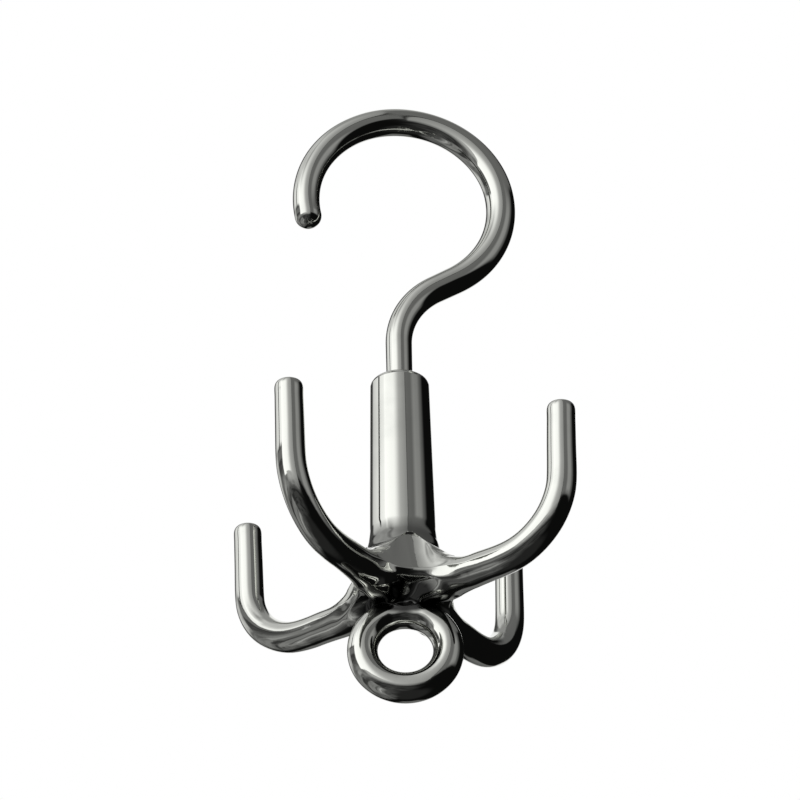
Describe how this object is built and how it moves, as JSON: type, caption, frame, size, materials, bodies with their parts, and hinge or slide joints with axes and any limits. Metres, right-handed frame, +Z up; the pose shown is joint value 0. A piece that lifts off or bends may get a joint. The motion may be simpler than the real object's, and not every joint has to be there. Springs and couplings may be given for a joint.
{
  "type": "rotating wardrobe hook",
  "caption": "Polished rail hook whose bent rod turns freely in the sleeve of a casting with upturned claws and a ring below.",
  "frame": {"origin": "underside of the crook's crown on the swivel axis, where the hook sits on a rail", "axes": "+Z up along the swivel axis; +X to the side that the neck bends to, so the crook's mouth opens to -X; the ring's hole runs along Y, 10 degrees towards +X at the back"},
  "size_m": [0.0718, 0.0718, 0.1715],
  "materials": {
    "chromed_rod": "bright chrome plate on a polished steel rod",
    "chromed_casting": "bright chrome plate on a polished zinc casting",
    "bush_steel": "turned steel",
    "washer_nylon": "natural nylon",
    "spring_steel": "oiled spring steel"
  },
  "bodies": {
    "rail_hook": {"rail_hook": "chromed_rod", "thrust_washer": "washer_nylon", "retaining_ring": "spring_steel"},
    "claw_casting": {"claw_body": "chromed_casting", "mouth_bush": "bush_steel"}
  },
  "joints": [
    {"name": "swivel", "type": "hinge", "parent": "rail_hook", "child": "claw_casting", "pos_m": [0, 0, -0.0812], "axis": [0, 0, 1], "continuous": true}
  ]
}
